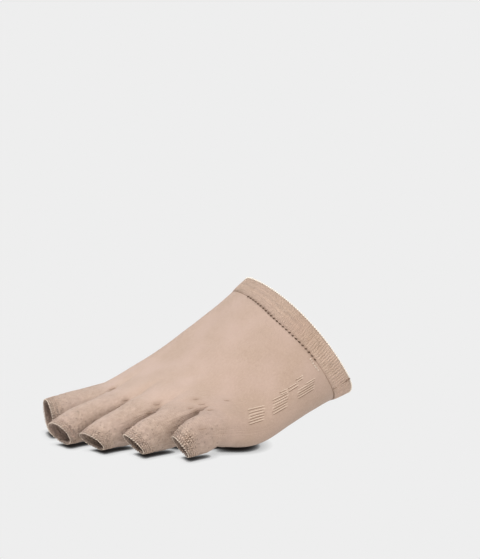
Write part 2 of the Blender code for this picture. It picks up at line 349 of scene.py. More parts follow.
@functools.lru_cache
def toe_root(index, fine):
    """The outline of a toe where it leaves the forefoot, lateral side first, then over the top."""
    ring = forefoot_ring(0.0, fine)
    count, ends = len(ring), end_steps(fine)
    starts = [0] + [ends + i * fine.top for i in range(len(TOES) - 1)]
    starts.append(starts[-1] + ends)
    first, last = starts[len(TOES) - 1 - index], starts[len(TOES) - index]
    top = [ring[i] for i in range(first, last + 1)]
    under = [ring[(count - i) % count] for i in range(last, first - 1, -1)]

    def web_column(web):
        at = ends + (len(WEBS) - 2 - web) * fine.top
        high, low = ring[at], ring[count - at]
        return [high + (low - high) * i / fine.web for i in range(1, fine.web)]

    medial = web_column(index) if index > 0 else []
    lateral = web_column(index + 1)[::-1] if index < len(TOES) - 1 else []
    if index == 0:
        under = under[1:]
    if index == len(TOES) - 1:
        under = under[:-1]
    return np.array(top + medial + under + lateral)


def toe_angles(index, fine):
    """The angle of each point round a toe: 0 is medial, 90 degrees is on top."""
    points = 2 * (fine.top + fine.web)
    first = math.pi if index == len(TOES) - 1 else math.pi * (0.5 + fine.top / points)
    return first - 2 * math.pi * np.arange(points) / points


def toe_ring(index, along, fine=SKIN_FINENESS):
    """One ring of a toe sleeve's outer surface, from its root at 0 to its opening at 1."""
    toe = TOES[index]
    root = toe_root(index, fine)
    start = root.mean(0)
    room = np.ptp(root[:, 1])
    dip = math.radians(toe.dip)
    half_height = toe.height * TOE_HEIGHT / 2
    end_height = TOE_CLEARANCE + half_height * math.cos(dip)
    end = np.array([-toe.reach * TOE_REACH, toe.y * BALL_WIDTH, end_height])
    arch = np.array([0, 0, toe.knuckle_rise * TOE_HEIGHT])
    bump = np.sin(math.pi * along ** (math.log(0.5) / math.log(toe.knuckle_at)))
    centre = start + (end - start) * along + arch * bump
    lean = dip * smoothstep(along)
    turn = math.radians(toe.turn) * smoothstep(along)
    side = np.array([-math.sin(turn), math.cos(turn), 0])
    up = np.array([-math.sin(lean) * math.cos(turn), -math.sin(lean) * math.sin(turn), math.cos(lean)])
    width = room / 2 * (1 + (toe.width - 1) * smoothstep(along * 2))
    height = half_height * (1 + (toe.knuckle_height / toe.height - 1) * bump)
    angles = toe_angles(index, fine)
    oval = centre + np.outer(width * np.cos(angles), side) + np.outer(height * np.sin(angles), up)
    # Beside its neighbour the root is drawn in a little, which opens the cleft between two toes.
    parted = smoothstep(along * 8)
    cleft = GAP * parted
    moved = root + (centre - start)
    moved[:, 1] = centre[1] + (moved[:, 1] - centre[1]) * (room - cleft) / room
    share = smoothstep(along / OVAL_AT)
    ring = moved * (1 - share) + oval * share
    # The toe's pad lies on the floor, and a hollow parts it from the ball of the foot.
    middle, low = ring[:, 2].mean(), ring[:, 2].min()
    sole = root[:, 2].min() + (TOE_CLEARANCE - root[:, 2].min()) * along
    sole += PAD_HOLLOW * math.exp(-(((along - HOLLOW_AT) / HOLLOW_REACH) ** 2)) * parted
    drop = np.where(ring[:, 2] < middle, (middle - ring[:, 2]) / (middle - low), 0)
    ring[:, 2] -= drop * (low - sole)
    return ring


def outward(ring_at, along):
    """The unit normals of the outer surface at one ring."""
    step = 1e-3
    before, after = max(along - step, 0.0), min(along + step, 1.0)
    run = ring_at(after) - ring_at(before)
    ring = ring_at(along)
    normal = np.cross(run, np.roll(ring, -1, 0) - np.roll(ring, 1, 0))
    normal /= np.linalg.norm(normal, axis=1)[:, None]
    if ((ring - ring.mean(0)) * normal).sum() < 0:
        normal = -normal
    return normal


def mean_length(ring_at):
    """The mean length of the surface from its first ring to its last."""
    rings = np.array([ring_at(place) for place in np.linspace(0, 1, 9)])
    return np.linalg.norm(np.diff(rings, axis=0), axis=2).sum(0).mean()


def girth(ring):
    return np.linalg.norm(np.roll(ring, -1, 0) - ring, axis=1).sum()


MOUTH = forefoot_ring(1.0, SOLID_FINENESS).mean(0)
FOREFOOT_LENGTH = mean_length(forefoot_ring)
CUFF_START = 1 - CUFF_WIDTH / FOREFOOT_LENGTH


def add_rings(form, rings, round_length, run_length, closed=False, **looks):
    """Adds a grid of faces that joins each ring to the next, with a UV map in metres of fabric.

    looks are the fabric's gather, specks and painted shading: one value for each point of each ring,
    or one for all of them.
    """
    uv = form.loops.layers.uv.verify()
    layers = form.verts.layers.float
    kept = {name: layers.get(name) or layers.new(name) for name in ("gather", "specks", "fold")}
    rows = [[form.verts.new(p) for p in ring - MOUTH] for ring in rings]
    for name, values in looks.items():
        spread = np.broadcast_to(values, (len(rows), len(rows[0])))
        for row, row_values in zip(rows, spread):
            for vert, value in zip(row, row_values):
                vert[kept[name]] = value
    count = len(rows[0])
    last = len(rows) if closed else len(rows) - 1
    for row in range(last):
        near, far = rows[row], rows[(row + 1) % len(rows)]
        for i in range(count):
            j = (i + 1) % count
            face = form.faces.new((near[i], near[j], far[j], far[i]))
            face.smooth = True
            corners = ((i, row), (i + 1, row), (i + 1, row + 1), (i, row + 1))
            for loop, (u, v) in zip(face.loops, corners):
                loop[uv].uv = (u / count * round_length, v / last * run_length)


def finished(name, form, finish):
    """A piece from a filled bmesh, with its normals turned outwards."""
    bmesh.ops.remove_doubles(form, verts=form.verts, dist=WELD)
    bmesh.ops.recalc_face_normals(form, faces=form.faces)
    mesh = bpy.data.meshes.new(name)
    form.to_mesh(mesh)
    form.free()
    mesh.materials.append(finish)
    return new_object(name, mesh)


# The fabric is a fine plain knit in a skin-like beige. Its V-shaped loops are about 0.5 mm wide on
# the real cap, and are drawn 1 mm wide here, because finer ones wouldn't show in the render.
WALE = 1.0 * MM
COURSE = 0.8 * MM
CREASE = 1.7 * MM  # from one crease to the next, where the knit is gathered beside a toe
SPECK_CELL = 1.05 * MM  # in each cell of this size one loop may stand open
FUZZ = 0.9 * MM
STREAK = 1.1 * MM
WRINKLE = 2.4 * MM
CREASE_BEND = 6 * MM
BLOTCH = 15 * MM
RELIEF = 0.22 * MM
PAINTED_SHADE_TINT = (0.79, 0.765, 0.73, 1.0)  # what full painted shade does to the knit's colour
MATHS = "ShaderNodeMath"


def knit_fabric(name, light, shade, rosy, relief):
    """Nylon and elastane jersey: matt, with a soft sheen, faint stripes and a slight mottle."""
    made = bpy.data.materials.new(name)
    made.use_nodes = True
    tree = made.node_tree
    shader = tree.nodes["Principled BSDF"]
    place = add_node(tree, "ShaderNodeTexCoord")
    on_foot, on_cloth = place.outputs["Object"], place.outputs["UV"]
    apart = add_node(tree, "ShaderNodeSeparateXYZ", {0: on_cloth})
    round_it, along_it = apart.outputs[0], apart.outputs[1]
    gather, specks, fold = (
        add_node(tree, "ShaderNodeAttribute", attribute_name=look).outputs["Fac"]
        for look in ("gather", "specks", "fold")
    )
    fuzz, wrinkling, bending, blotches = (
        add_node(tree, "ShaderNodeTexNoise", {"Vector": on_foot, "Scale": 1 / size, "Detail": detail})
        for size, detail in ((FUZZ, 2.0), (WRINKLE, 1.0), (CREASE_BEND, 1.0), (BLOTCH, 1.0))
    )
    drawn_out = add_node(
        tree, "ShaderNodeVectorMath", {0: on_cloth, 1: (1.0, 0.45, 1.0)}, operation="MULTIPLY"
    )
    streaks = add_node(
        tree, "ShaderNodeTexNoise", {"Vector": drawn_out, "Scale": 1 / STREAK, "Detail": 2.0}
    )
    # Each stitch is a V of two slanting legs, one V wide and one course high.
    wales = add_node(tree, MATHS, {0: round_it, 1: 1 / WALE}, operation="MULTIPLY")
    across = add_node(tree, MATHS, {0: wales, 1: 0.5}, operation="PINGPONG")
    leg = add_node(tree, MATHS, {0: across, 1: 0.25}, operation="PINGPONG")
    lean = add_node(tree, MATHS, {0: across, 1: 1.2}, operation="MULTIPLY")
    slant = add_node(tree, MATHS, {0: along_it, 1: 1 / COURSE, 2: lean}, operation="MULTIPLY_ADD")
    course = add_node(tree, MATHS, {0: slant, 1: 0.5}, operation="PINGPONG")
    loops = add_node(tree, MATHS, {0: leg, 1: 2.4, 2: course}, operation="MULTIPLY_ADD")
    streaky = add_node(tree, MATHS, {0: streaks, 1: 0.9, 2: loops}, operation="MULTIPLY_ADD")
    lumps = add_node(tree, MATHS, {0: fuzz, 1: 1.1, 2: streaky}, operation="MULTIPLY_ADD")
    # Creases run along a toe where the knit is gathered, and bend a little.
    bent = add_node(tree, MATHS, {0: bending, 1: 1.6}, operation="MULTIPLY")
    pitch = add_node(tree, MATHS, {0: round_it, 1: 1 / CREASE, 2: bent}, operation="MULTIPLY_ADD")
    crease = add_node(tree, MATHS, {0: pitch, 1: 0.5}, operation="PINGPONG")
    gathers = add_node(tree, MATHS, {0: gather, 1: 4.2}, operation="MULTIPLY")
    creases = add_node(tree, MATHS, {0: crease, 1: gathers}, operation="MULTIPLY")
    # Here and there a loop of the mesh stands open, and shows as a dark speck: painted shade in it.
    cells = add_node(tree, "ShaderNodeTexVoronoi", {"Vector": on_foot, "Scale": 1 / SPECK_CELL})
    chance = add_node(tree, "ShaderNodeSeparateXYZ", {0: cells.outputs["Color"]})
    share = add_node(tree, MATHS, {0: specks, 1: 0.8, 2: -0.22}, operation="MULTIPLY_ADD")
    is_open = add_node(tree, MATHS, {0: chance, 1: share}, operation="LESS_THAN")
    from_middle = cells.outputs["Distance"]
    hole = add_node(tree, "ShaderNodeMapRange", {0: from_middle, 1: 0.25, 2: 0.6, 3: 1.0, 4: 0.0})
    open_loops = add_node(tree, MATHS, {0: hole, 1: is_open}, operation="MULTIPLY")
    # The relief is deeper where there are more specks.
    coarser = add_node(tree, MATHS, {0: specks, 1: 7.0, 2: 1.0}, operation="MULTIPLY_ADD")
    stitches = add_node(tree, MATHS, {0: lumps, 1: coarser}, operation="MULTIPLY")
    level = add_node(tree, MATHS, {0: wrinkling, 1: -0.5}, operation="ADD")
    wrinkles = add_node(tree, MATHS, {0: level, 1: specks}, operation="MULTIPLY")
    rough = add_node(tree, MATHS, {0: wrinkles, 1: 14.0, 2: stitches}, operation="MULTIPLY_ADD")
    raised = add_node(tree, MATHS, {0: rough, 1: creases}, operation="ADD")
    heights = add_node(tree, MATHS, {0: open_loops, 1: -2.0, 2: raised}, operation="MULTIPLY_ADD")
    bump = add_node(
        tree, "ShaderNodeBump", {"Height": heights, "Strength": relief, "Distance": RELIEF}
    )
    # Painted light and shade: the raised stitches are painted lighter and the dips between them darker,
    # over the yarn's own random mottle; and the yarn is rosier in wide soft blotches.
    grainy = add_node(tree, MATHS, {0: specks, 1: 2.2, 2: 0.75}, operation="MULTIPLY_ADD")
    evened = add_node(tree, "ShaderNodeMapRange", {0: lumps, 1: 0.9, 2: 2.3, 3: 0.0, 4: 1.0})
    centred = add_node(tree, MATHS, {0: evened, 1: -0.4}, operation="ADD")
    contrast = add_node(tree, MATHS, {0: centred, 1: grainy, 2: 0.5}, operation="MULTIPLY_ADD")
    body = add_node(
        tree, "ShaderNodeMix", {0: contrast, 6: linear(shade), 7: linear(light)}, data_type="RGBA"
    )
    blush = add_node(tree, "ShaderNodeMapRange", {0: blotches, 1: 0.35, 2: 0.70, 3: 0.0, 4: 0.55})
    tinted = add_node(
        tree, "ShaderNodeMix", {0: blush, 6: body.outputs[2], 7: linear(rosy)}, data_type="RGBA"
    )
    # Painted shade: folds, crease dips, open loops and wrinkle dips are painted darker, wrinkle tops
    # lighter.
    multiplied = {"data_type": "RGBA", "blend_type": "MULTIPLY", "clamp_factor": False}
    folded = add_node(
        tree, "ShaderNodeMix", {0: fold, 6: tinted.outputs[2], 7: PAINTED_SHADE_TINT}, **multiplied
    )
    between = add_node(tree, "ShaderNodeMapRange", {0: creases, 1: 0.0, 2: 2.0, 3: 1.0, 4: 0.0})
    depth = add_node(tree, MATHS, {0: gather, 1: -0.12}, operation="MULTIPLY")
    creased = add_node(tree, MATHS, {0: between, 1: depth, 2: 1.0}, operation="MULTIPLY_ADD")
    holed = add_node(tree, MATHS, {0: open_loops, 1: -0.32, 2: 1.0}, operation="MULTIPLY_ADD")
    wrinkled = add_node(tree, MATHS, {0: wrinkles, 1: 1.0}, operation="ADD")
    dark = add_node(tree, MATHS, {0: creased, 1: holed}, operation="MULTIPLY")
    darker = add_node(tree, MATHS, {0: dark, 1: wrinkled}, operation="MULTIPLY")
    final = add_node(
        tree, "ShaderNodeMix", {0: 1.0, 6: folded.outputs[2], 7: darker}, **multiplied
    )
    tree.links.new(final.outputs[2], shader.inputs["Base Color"])
    tree.links.new(bump.outputs[0], shader.inputs["Normal"])
    shader.inputs["Roughness"].default_value = 0.9
    shader.inputs["Specular IOR Level"].default_value = 0.2
    shader.inputs["Sheen Weight"].default_value = 0.10
    shader.inputs["Sheen Roughness"].default_value = 0.5
    return made


# Small folds where the worn knit puckers: the place of each, the direction that it runs in, and its
# size, in mm. They are deepest at the webs, where the foot bends.
Pleat = namedtuple("Pleat", "x y z run_x run_y length width depth")
PLEATS = [
    Pleat(-92.8, 28.8, -18.9, 1.0, 0.2, 5.0, 1.1, 1.0),
    Pleat(-97.6, 23.3, -18.4, 1.0, 0.4, 5.0, 1.1, 0.3),
    Pleat(-95.9, 9.6, -20.2, 1.0, 0.1, 5.0, 1.1, 0.7),
    Pleat(-87.4, -6.9, -19.6, 1.0, -0.2, 5.0, 1.1, 1.0),
    Pleat(-92.5, -8.3, -22.9, 1.0, 0.0, 5.0, 1.1, 0.7),
    Pleat(-71.6, -18.1, -16.5, 0.9, -0.5, 4.0, 1.0, 0.8),
    Pleat(-58.8, -26.1, -17.0, 0.9, -0.5, 3.5, 0.9, 0.5),
    Pleat(-69.8, -29.1, -19.5, 0.9, -0.5, 4.0, 1.0, 0.7),
    Pleat(-76.6, -21.9, -19.4, 0.9, -0.3, 3.5, 1.0, 0.8),
    Pleat(-75.1, -24.0, -21.2, 1.0, 0.0, 4.0, 1.0, 0.7),
    Pleat(-70.6, -22.2, -18.1, 0.9, -0.4, 5.0, 1.0, 0.4),
    Pleat(-79.5, -38.9, -25.4, 1.0, -0.1, 6.0, 0.9, 0.6),
    Pleat(-87.5, -39.0, -28.8, 1.0, 0.1, 6.0, 1.6, 0.9),
    Pleat(-124.0, 10.5, -36.5, 1.0, -0.2, 7.0, 1.2, 1.0),
]


def pleated(points):
    """Each point's depth in the pleats, as painted shade, and how far they move it along its normal."""
    inside = np.zeros(len(points))
    move = np.zeros(len(points))
    for pleat in PLEATS:
        away = points - np.array([pleat.x, pleat.y, pleat.z]) * MM
        run = np.array([pleat.run_x, pleat.run_y, 0.0]) / math.hypot(pleat.run_x, pleat.run_y)
        side = away @ np.array([-run[1], run[0], 0.0]) / (pleat.width * MM)
        reach = np.exp(-((away @ run / (pleat.length * MM / 2)) ** 2) - (away[:, 2] / (4 * MM)) ** 2)
        inside += reach * np.exp(-(side**2)) * pleat.depth
        lips = np.exp(-((side - 1.7) ** 2)) + np.exp(-((side + 1.7) ** 2))
        move += reach * (0.3 * lips - 0.45 * np.exp(-(side**2))) * pleat.depth * MM
    return inside, move


WAVE = 13 * MM
WAVE_DEPTH = 0.22 * MM
LUMP = 1.8 * MM
LUMP_DEPTH = 0.5 * MM


def undulating(points, specks):
    """A slight waviness of the cloth, and lumps where its mesh is open."""
    waves = np.array([noise.noise(Vector(p) / WAVE) for p in points]) * WAVE_DEPTH
    lumps = np.array([noise.noise(Vector(p) / LUMP) for p in points]) * LUMP_DEPTH
    return waves + lumps * specks


def ruffled(made):
    """Moves a piece by its folds, waves and lumps, and paints the folds' depth on it as shade."""
    mesh = made.data
    places = np.array([vert.co for vert in mesh.vertices])
    normals = np.array([vert.normal for vert in mesh.vertices])
    fold = mesh.attributes["fold"].data
    specks = np.array([point.value for point in mesh.attributes["specks"].data])
    inside, move = pleated(places)
    fold.foreach_set("value", np.array([point.value for point in fold]) + inside)
    moved = places + normals * (move + undulating(places, specks))[:, None]
    mesh.vertices.foreach_set("co", moved.ravel())
    mesh.update()


def gathered(index, places, fine=SKIN_FINENESS):
    """How much the knit is gathered round a toe: most on the side that faces the next toe."""
    from_side = np.angle(np.exp(1j * (toe_angles(index, fine) - 1.08 * math.pi)))
    around = np.exp(-((from_side / 0.9) ** 2))
    lengthways = [smoothstep(place * 5) * (1 - 0.5 * smoothstep(place * 2 - 1)) for place in places]
    most = 0.4 if index == len(TOES) - 1 else 1.0
    return most * np.outer(lengthways, 0.25 + 0.75 * around)


LATERAL_SHADE_AT = 0.95  # how far round the foot the painted shade is deepest: on the outer side
LATERAL_SHADE_REACH = 0.22
LATERAL_SHADE_DEPTH = 0.75


def lateral_shade(far):
    """How much darker the knit is painted round the foot, deepest on its outer side: painted shade."""
    return LATERAL_SHADE_DEPTH * np.exp(-(((far - LATERAL_SHADE_AT) / LATERAL_SHADE_REACH) ** 2))


def toe_shade(index, places, fine=SKIN_FINENESS):
    """The shade of a toe, which carries on from the forefoot's and fades on all but the last toe."""
    root = toe_root(index, fine)
    medial, lateral = SECTIONS[0].medial_y, SECTIONS[0].lateral_y
    across = (root[:, 1] / BALL_WIDTH - medial) / (lateral - medial)
    far = np.where(root[:, 2] > root[:, 2].mean(), across, 2 - across)
    fade = 0.5 if index == len(TOES) - 1 else 0.9
    return np.array([lateral_shade(far) * (1 - fade * smoothstep(place * 1.5)) for place in places])


# How much of the knit stands open: on the foot, more on the toes, and most next to the hems.
FOOT_SPECKS = 0.03
TOE_SPECKS = 0.24
HEM_SPECKS = 0.62
HEM_SPECKS_REACH = 9 * MM


def specked(index, places, length, fine=SKIN_FINENESS):
    """How many loops stand open round a toe: most near its hem, on the side away from the body."""
    from_side = np.angle(np.exp(1j * (toe_angles(index, fine) - 0.95 * math.pi)))
    around = 0.5 + 0.5 * np.exp(-((from_side / 1.2) ** 2))
    lengthways = [math.exp(-(((1 - place) * length / HEM_SPECKS_REACH) ** 2)) for place in places]
    toe = np.array([TOE_SPECKS * smoothstep(place * 3) for place in places])[:, None]
    return FOOT_SPECKS + toe + HEM_SPECKS * np.outer(lengthways, around)


beige_jersey = knit_fabric("beige_nylon_jersey", "#B6A090", "#9E8777", "#B7A094", 0.5)

skin_form = bmesh.new()
skin_end = CUFF_START + TUCK / FOREFOOT_LENGTH
skin_rings = [forefoot_ring(place) for place in np.linspace(0, skin_end, SKIN_RINGS)]
skin_girth = girth(skin_rings[SKIN_RINGS // 2])
# Painted shade: the knit is darker up the foot, and more so on the outer side near the toes.
skin_along = np.linspace(0, skin_end, SKIN_RINGS)[:, None]
up_foot = smoothstep(skin_along * 3) * (0.2 + 0.16 * smoothstep(skin_along))
outer_side = lateral_shade(turn_share(SKIN_FINENESS)[None, :]) * (1 - 0.5 * smoothstep(skin_along * 2))
add_rings(
    skin_form,
    skin_rings,
    skin_girth,
    FOREFOOT_LENGTH * skin_end,
    specks=FOOT_SPECKS,
    fold=up_foot + outer_side,
)
for number, toe in enumerate(TOES):
    ring_at = functools.partial(toe_ring, number)
    toe_length = mean_length(ring_at)
    toe_end = 1 - (HEM_WIDTH - TUCK) / toe_length
    toe_places = np.linspace(0, toe_end, TOE_RINGS)
    toe_rings = [ring_at(place) for place in toe_places]
    add_rings(
        skin_form,
        toe_rings,
        girth(toe_rings[-1]),
        toe_length * toe_end,
        gather=gathered(number, toe_places),
        specks=specked(number, toe_places, toe_length),
        fold=toe_shade(number, toe_places),
    )
bmesh.ops.remove_doubles(skin_form, verts=skin_form.verts, dist=WELD)
# The edge of the skin between two toes is rounded off, as cloth rounds it.
WEB_ROUNDING = 5 * MM
WEB_ROUNDS = 10
web_points = []
web_ring = forefoot_ring(0.0)
for web in range(1, len(WEBS) - 1):
    at = end_steps(SKIN_FINENESS) + (len(WEBS) - 2 - web) * SKIN_FINENESS.top
    high, low = web_ring[at] - MOUTH, web_ring[-at] - MOUTH
    web_points += [high + (low - high) * share for share in np.linspace(0, 1, 9)]
near_webs = [
    vert
    for vert in skin_form.verts
    if np.linalg.norm(np.array(web_points) - np.array(vert.co), axis=1).min() < WEB_ROUNDING
]
for _ in range(WEB_ROUNDS):
    bmesh.ops.smooth_vert(
        skin_form, verts=near_webs, factor=0.5, use_axis_x=True, use_axis_y=True, use_axis_z=True
    )
knit_skin = finished("knit_skin", skin_form, beige_jersey)
ruffled(knit_skin)
wall = knit_skin.modifiers.new("fabric", "SOLIDIFY")
wall.thickness = FABRIC
wall.offset = -1
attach(knit_skin, "root")
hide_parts("forefoot_sleeve", *[f"{toe.name}_sleeve" for toe in TOES])

# Raised rib stitches on the outer side of the foot: short groups of fine lines, which climb towards
# the cuff like stairs. Each is one wale of the same yarn that stands out of the plain knit, painted a
# little lighter as painted highlight; a dark thread below it is the furrow's painted shade.


def make_tree(name, sockets):
    """An empty node tree for geometry, with named inputs, and its input and output nodes."""
    tree = bpy.data.node_groups.new(name, "GeometryNodeTree")
    tree.interface.new_socket(name="Geometry", in_out="INPUT", socket_type="NodeSocketGeometry")
    for socket, kind in sockets.items():
        tree.interface.new_socket(name=socket, in_out="INPUT", socket_type=kind)
    tree.interface.new_socket(name="Geometry", in_out="OUTPUT", socket_type="NodeSocketGeometry")
    return tree, add_node(tree, "NodeGroupInput").outputs, add_node(tree, "NodeGroupOutput")


def made_by(tree, name, lines, **values):
    """A piece that a node tree makes along lines. Each line has points, normals, and if it's closed."""
    mesh = bpy.data.meshes.new(name)
    points, normals, edges = [], [], []
    for line, outs, closed in lines:
        first, count = len(points), len(line)
        points += [tuple(p) for p in line]
        normals += [tuple(n) for n in outs]
        edges += [(first + i, first + (i + 1) % count) for i in range(count if closed else count - 1)]
    mesh.from_pydata(points, edges, [])
    out = mesh.attributes.new("out", "FLOAT_VECTOR", "POINT")
    out.data.foreach_set("vector", np.array(normals).ravel())
    source = new_object(name + "_path", mesh)
    modifier = source.modifiers.new("make", "NODES")
    modifier.node_group = tree
    names = {item.name: item.identifier for item in tree.interface.items_tree if item.in_out == "INPUT"}
    for key, value in values.items():
        modifier[names[key]] = value
    graph = bpy.context.evaluated_depsgraph_get()
    result = bpy.data.meshes.new_from_object(source.evaluated_get(graph))
    bpy.data.objects.remove(source)
    return new_object(name, result)


thread_tree, thread_in, thread_out = make_tree(
    "threads", {"Radius": "NodeSocketFloat", "Material": "NodeSocketMaterial"}
)
path = add_node(thread_tree, "GeometryNodeMeshToCurve", {0: thread_in["Geometry"]})
profile = add_node(thread_tree, "GeometryNodeCurvePrimitiveCircle", {"Resolution": 8})
radii = add_node(thread_tree, "ShaderNodeCombineXYZ", dict.fromkeys(range(3), thread_in["Radius"]))
profile_size = add_node(thread_tree, "GeometryNodeTransform", {"Geometry": profile, "Scale": radii})
tube = add_node(
    thread_tree,
    "GeometryNodeCurveToMesh",
    {"Curve": path, "Profile Curve": profile_size, "Fill Caps": True},
)
smooth = add_node(thread_tree, "GeometryNodeSetShadeSmooth", {"Geometry": tube})
loose = add_node(thread_tree, "GeometryNodeRealizeInstances", {0: smooth})
coloured = add_node(
    thread_tree, "GeometryNodeSetMaterial", {"Geometry": loose, "Material": thread_in["Material"]}
)
thread_tree.links.new(coloured.outputs[0], thread_out.inputs[0])


def thread(name, lines, radius, dyed_yarn):
    """A piece with one even thread along each of its lines."""
    return made_by(thread_tree, name, lines, Radius=radius, Material=dyed_yarn)


def yarn(name, colour):
    """A single stitch's yarn: the fabric's own matt nylon, lit or dyed a little differently."""
    made = bpy.data.materials.new(name)
    made.use_nodes = True
    shader = made.node_tree.nodes["Principled BSDF"]
    shader.inputs["Base Color"].default_value = linear(colour)
    shader.inputs["Roughness"].default_value = 0.85
    shader.inputs["Specular IOR Level"].default_value = 0.2
    return made


RIB_RADIUS = 0.2 * MM
FURROW_SHADE_RADIUS = 0.21 * MM
RIB_SUNK = 0.08 * MM
FURROW_SHADE_SUNK = 0.1 * MM
RIB_END_SUNK = 0.3 * MM
RIB_UNEVEN = 0.5 * MM
CREASE_RADIUS = 0.15 * MM
# Each group's lowest line starts at x and z. Sizes are in mm, shift and climb from rib to rib.
Ribs = namedtuple("Ribs", "x z length rise shift climb count")
RIB_GROUPS = [
    Ribs(-55.9, -26.4, 9.8, 1.7, 0.50, 1.14, 6),
    Ribs(-42.6, -23.3, 10.2, 3.5, 0.40, 1.24, 6),
    Ribs(-35.9, -14.6, 4.7, 1.5, 0.20, 0.95, 2),
    Ribs(-31.5, -13.6, 6.8, 2.6, 0.30, 1.30, 2),
    Ribs(-26.3, -9.8, 4.6, 1.8, 0.30, 1.10, 2),
    Ribs(-27.6, -17.5, 12.4, 3.9, 0.25, 1.20, 4),
    Ribs(-21.9, -11.3, 7.4, 2.3, 0.20, 1.10, 1),
]
surface = BVHTree.FromPolygons(
    [v.co.copy() for v in knit_skin.data.vertices], [p.vertices[:] for p in knit_skin.data.polygons]
)


def on_outer_side(x, z, sunk):
    """The point on the foot's lateral side at a place along and up, and the surface's normal."""
    place, normal, _, _ = surface.ray_cast(Vector((x, -0.1, z)), Vector((0, 1, 0)))
    return place - normal * sunk, normal


ribs, furrows = [], []
for group in RIB_GROUPS:
    for row in range(2 * group.count):
        start_x = (group.x + group.shift * row / 2) * MM + RIB_UNEVEN * math.sin(2.3 * row)
        start_z = (group.z + group.climb * row / 2) * MM
        sunk = RIB_SUNK if row % 2 else FURROW_SHADE_SUNK
        found = [
            on_outer_side(
                start_x + group.length * MM * s,
                start_z + group.rise * MM * s,
                sunk + RIB_END_SUNK * abs(2 * s - 1) ** 6,
            )
            for s in np.linspace(0, 1, 14)
        ]
        (ribs if row % 2 else furrows).append(([p for p, _ in found], [n for _, n in found], False))
# Painted highlight and shade: the rib yarn is a little lighter than the knit, the furrow thread dark.
rib_highlight_yarn = yarn("raised_rib_painted_lighter", "#BDAA99")
rib_lines = thread("rib_stitches", ribs, RIB_RADIUS, rib_highlight_yarn)
furrow_shade_yarn = yarn("shaded_furrow", "#745F4E")
furrow_shade_lines = thread("rib_furrow_shades", furrows, FURROW_SHADE_RADIUS, furrow_shade_yarn)
# A thin dark thread lies in the bottom of each small pleat: painted shade.
creases = []
for pleat in PLEATS:
    run = Vector((pleat.run_x, pleat.run_y, 0)).normalized()
    bend = Vector((-run.y, run.x, 0)) * 0.12 * pleat.length * MM
    found = []
    for share in np.linspace(-1, 1, 9):
        near = Vector((pleat.x, pleat.y, pleat.z)) * MM + run * share * 0.42 * pleat.length * MM
        place, normal, _, _ = surface.find_nearest(near + bend * share**2)
        found.append((place + normal * (0.04 - 0.22 * share**2) * MM, normal))
    creases.append(([p for p, _ in found], [n for _, n in found], False))
crease_shade_yarn = yarn("shaded_crease", "#8A7464")
crease_shade_lines = thread("creases", creases, CREASE_RADIUS, crease_shade_yarn)
for piece in (rib_lines, furrow_shade_lines, crease_shade_lines):
    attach(piece, "root")

# The cuff: the end of the tube is folded double and sewn down, so it stands out a little from the
# sleeve. Fine ribs run across it, clearest on its outer side.

CUFF_THICKNESS = 2.0 * MM
CUFF_PROUD = 0.45 * MM
CUFF_PROFILE = 30
CUFF_FINENESS = Fineness(82, 40)
CUFF_SPREAD = 0.28  # how much wider the pulled-out cuff is at the place across where it spreads most
CUFF_SPREAD_AT = 0.8
CUFF_SPREAD_REACH = 0.26
CUFF_RIB = 1.5 * MM
CUFF_RIB_DEPTH = 0.26 * MM


@functools.lru_cache
def cuff_table():
    """Rings of the sleeve's surface under the cuff, close together."""
    places = np.linspace(0.72, 1.0, 57)
    return places, np.array([forefoot_ring(place, CUFF_FINENESS) for place in places])


def cuff_ring(place):
    """A ring of the sleeve's surface that leaves the cuff wider where its knit is pulled out."""
    places, table = cuff_table()
    far = turn_share(CUFF_FINENESS)
    spread = 1 + CUFF_SPREAD * np.exp(-(((far - CUFF_SPREAD_AT) / CUFF_SPREAD_REACH) ** 2))
    wanted = (1 - (1 - place) * spread - places[0]) / (places[1] - places[0])
    low = np.clip(wanted.astype(int), 0, len(places) - 2)
    share = (wanted - low)[:, None]
    column = np.arange(table.shape[1])
    return table[low, column] * (1 - share) + table[low + 1, column] * share


def band_rings(ring_at, start, thickness, proud, points, relief=None):
    """Rings round a folded band's profile: a superellipse of power 4, flat with round edges."""
    rings = []
    for angle in np.arange(points) * 2 * math.pi / points:
        across, out = (
            0.5 + 0.5 * math.copysign(abs(part) ** 0.5, part)
            for part in (math.cos(angle), math.sin(angle))
        )
        place = start + (1 - start) * across
        depth = np.full(len(ring_at(place)), proud - thickness + thickness * out)
        if relief is not None:
            depth = depth + relief(across) * out
        rings.append(ring_at(place) + outward(ring_at, place) * depth[:, None])
    return rings


def cuff_relief(across):
    """The ribs that run across the cuff, each a little wavy."""
    ring = cuff_ring(1.0)
    far = turn_share(CUFF_FINENESS)
    step = np.linalg.norm(np.roll(ring, -1, 0) - ring, axis=1)
    length = np.cumsum(step) - step
    lateral = np.exp(-(((far - 1.0) / 0.16) ** 2))
    wave = np.sin(2 * math.pi * length / CUFF_RIB + 0.8 * math.sin(across * 5))
    flat = math.sin(math.pi * min(max(across, 0.0), 1.0)) ** 0.5
    return CUFF_RIB_DEPTH * flat * wave * (0.25 + 0.9 * lateral)


cuff_knit = knit_fabric("beige_nylon_welt", "#BDA593", "#97806E", "#B59B8C", 0.7)
cuff_form = bmesh.new()
cuff_rings = band_rings(cuff_ring, CUFF_START, CUFF_THICKNESS, CUFF_PROUD, CUFF_PROFILE, cuff_relief)
# Painted shade and light round the cuff: a little darker all round, darker still just before its outer
# side, and lighter on the outer side itself.
cuff_far = turn_share(CUFF_FINENESS)
cuff_shade_band = np.exp(-(((cuff_far - 0.86) / 0.09) ** 2))
light_side = smoothstep((cuff_far - 0.93) / 0.06)
add_rings(
    cuff_form,
    cuff_rings,
    girth(cuff_rings[0]),
    2 * CUFF_WIDTH,
    closed=True,
    specks=0.15,
    fold=0.15 + 0.55 * cuff_shade_band - 0.35 * light_side,
)
cuff = finished("cuff", cuff_form, cuff_knit)
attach(cuff, "root")
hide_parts("cuff_band")
